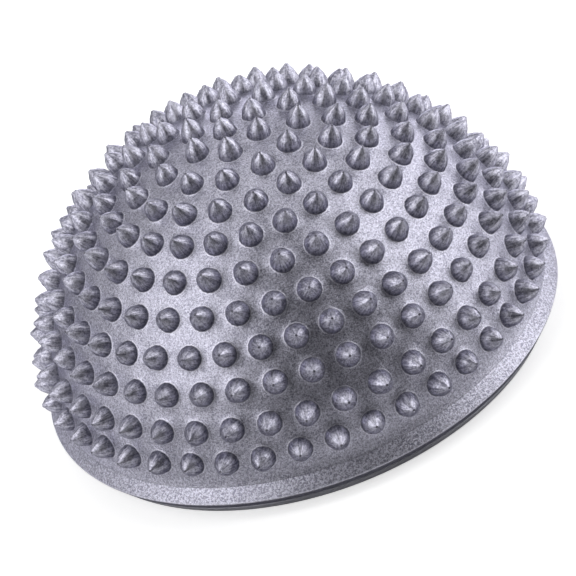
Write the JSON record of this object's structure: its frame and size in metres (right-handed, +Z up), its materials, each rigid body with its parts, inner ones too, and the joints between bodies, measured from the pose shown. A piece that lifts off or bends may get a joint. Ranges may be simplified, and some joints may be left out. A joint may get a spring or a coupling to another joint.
{
  "type": "spiky balance pod",
  "caption": "Air-filled half-dome balance pod with moulded massage spikes, a flat non-slip base and a pull-out air valve plug.",
  "frame": {"origin": "centre of the underside, on the plane that the foot ring stands on", "axes": "+Z up through the top spike; X and Y are level, and the picture looks along +Y from above the -Y side"},
  "size_m": [0.1611, 0.1612, 0.085],
  "materials": {
    "silver_pvc": "satin",
    "base_pvc": "matte",
    "collar_rubber": "matte",
    "plug_plastic": "satin"
  },
  "bodies": {
    "pod": {"dome_shell": "silver_pvc", "base_disc": "base_pvc", "valve_collar": "collar_rubber"},
    "plug": {"valve_plug": "plug_plastic"}
  },
  "joints": [
    {"name": "plug_pull", "type": "slide", "parent": "pod", "child": "plug", "axis": [0, 0, -1], "range_m": [0, 0.02]}
  ]
}
